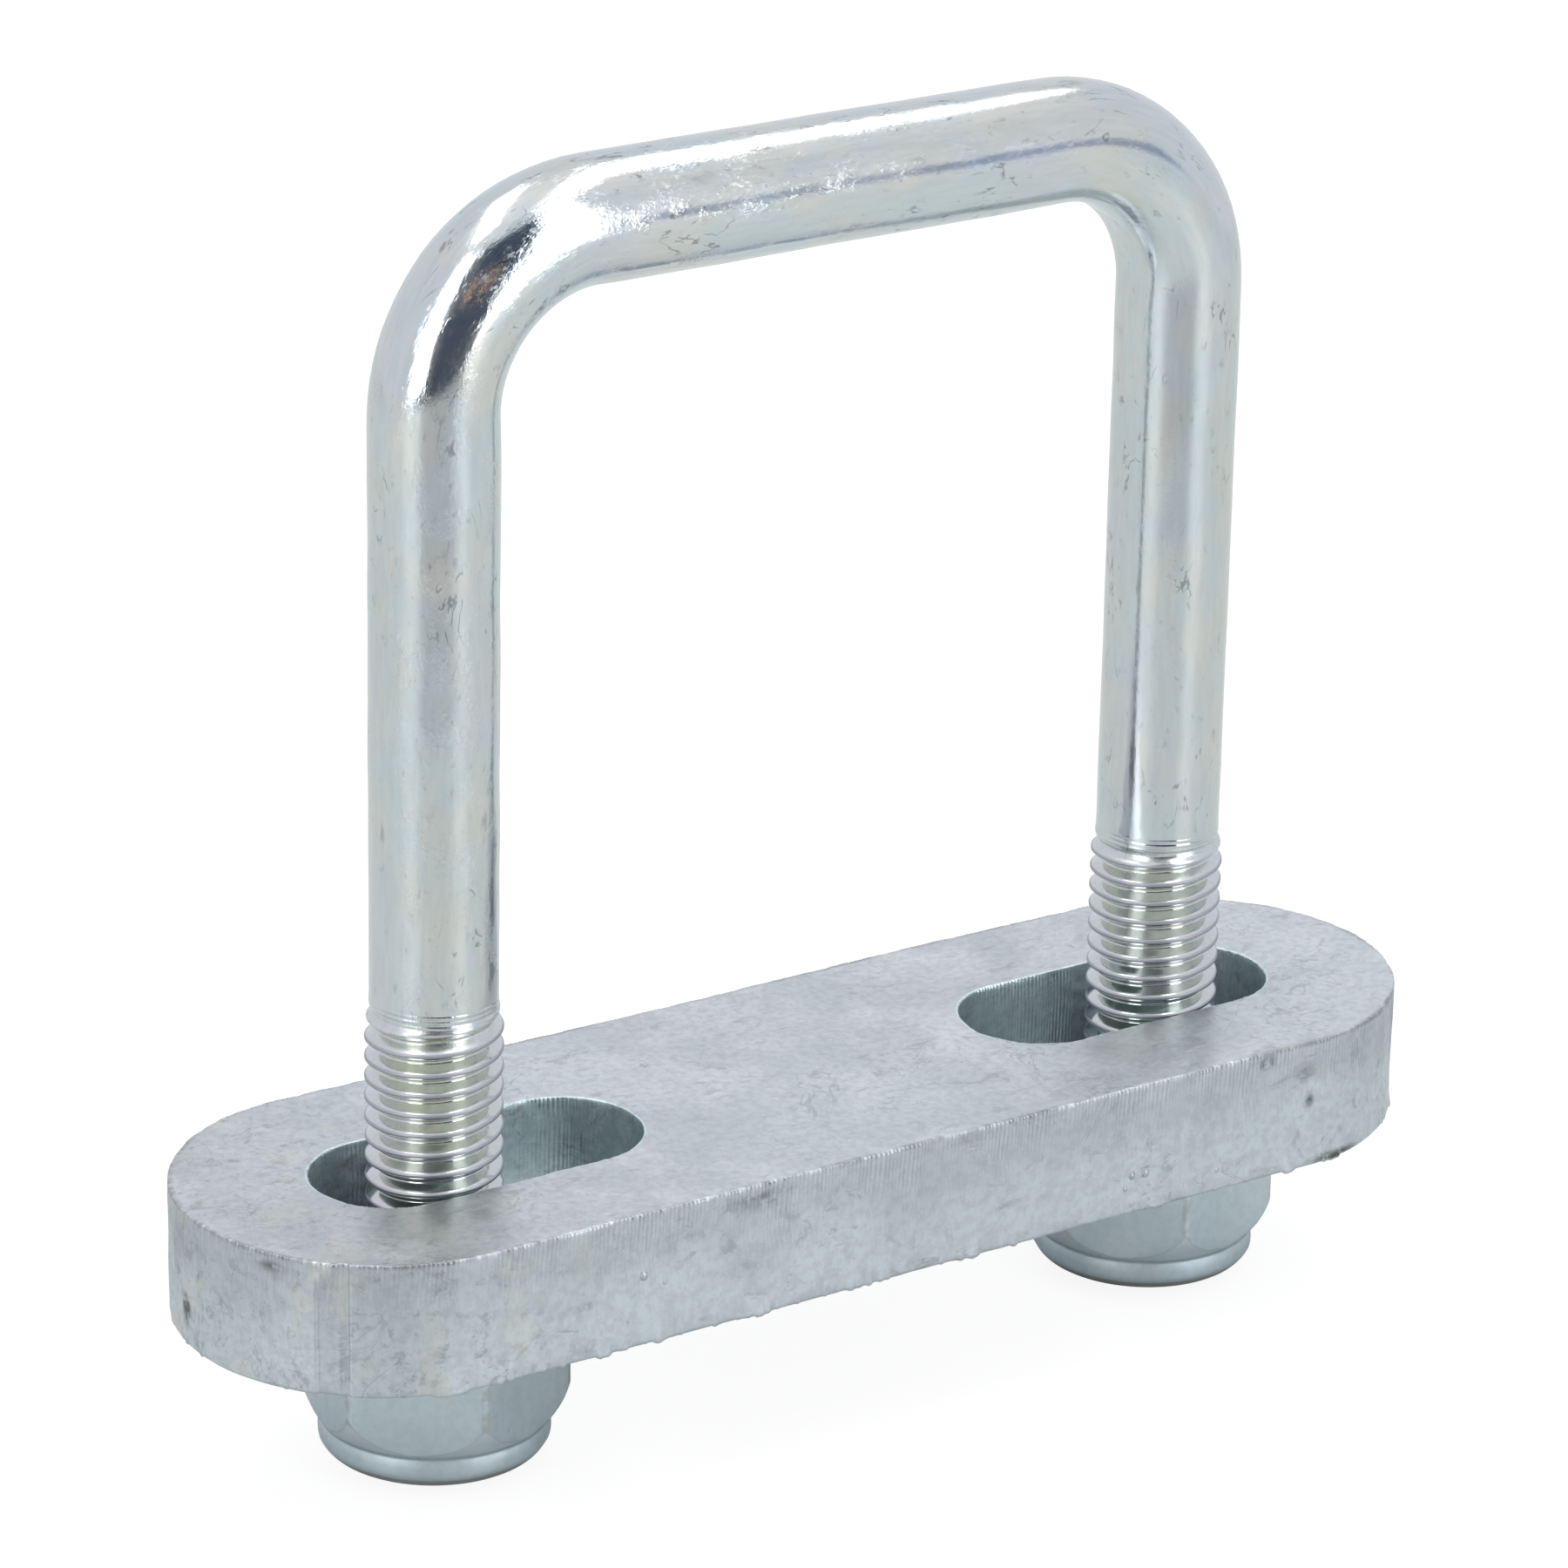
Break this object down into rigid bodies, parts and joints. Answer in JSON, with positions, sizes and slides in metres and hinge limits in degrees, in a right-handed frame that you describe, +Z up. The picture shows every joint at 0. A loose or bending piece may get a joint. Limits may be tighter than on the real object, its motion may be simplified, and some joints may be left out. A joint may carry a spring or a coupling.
{
  "type": "u-bolt clamp",
  "caption": "Square-bend U-bolt with threaded legs, slotted clamping plate and nylon-insert lock nuts; its loop also serves as an eye to tie or lash to.",
  "frame": {"origin": "centre of the plate's clamping face, midway between the two legs, in the plane of the loop", "axes": "+Z up from the clamping face to the crossbar, along the legs; +X along the plate towards the right leg; +Y through the loop"},
  "size_m": [0.1, 0.03, 0.0935],
  "materials": {
    "bolt_zinc": "bright zinc plating over a drawn steel rod, mirror-like with fine pits",
    "plate_zinc": "satin, mottled zinc plating over rolled and flame-cut steel",
    "nut_zinc": "bright zinc plating over a cold-formed nut",
    "nylon": "natural nylon, slightly translucent and waxy"
  },
  "bodies": {
    "u_bolt": {"u_bolt": "bolt_zinc"},
    "nut_carrier": {"nylon_insert_left": "nylon", "nylon_insert_right": "nylon"},
    "nut_left": {"lock_nut_left": "nut_zinc"},
    "nut_right": {"lock_nut_right": "nut_zinc"},
    "plate": {"clamp_plate": "plate_zinc"}
  },
  "joints": [
    {"name": "nut_travel", "type": "slide", "parent": "u_bolt", "child": "nut_carrier", "axis": [0, 0, 1], "range_m": [-0.009, 0.02]},
    {"name": "left_nut_spin", "type": "hinge", "parent": "nut_carrier", "child": "nut_left", "pos_m": [-0.03102, 0, -0.0158], "axis": [0, 0, 1], "range_deg": [-2160, 4800]},
    {"name": "right_nut_spin", "type": "hinge", "parent": "nut_carrier", "child": "nut_right", "pos_m": [0.03102, 0, -0.0158], "axis": [0, 0, 1], "range_deg": [-2160, 4800]},
    {"name": "plate_shift", "type": "slide", "parent": "nut_carrier", "child": "plate", "axis": [1, 0, 0], "range_m": [-0.0042, 0.0042]}
  ],
  "couplings": [
    {"joint": "left_nut_spin", "follows": "nut_travel", "rad_per_m": 4188.8},
    {"joint": "right_nut_spin", "follows": "nut_travel", "rad_per_m": 4188.8}
  ]
}
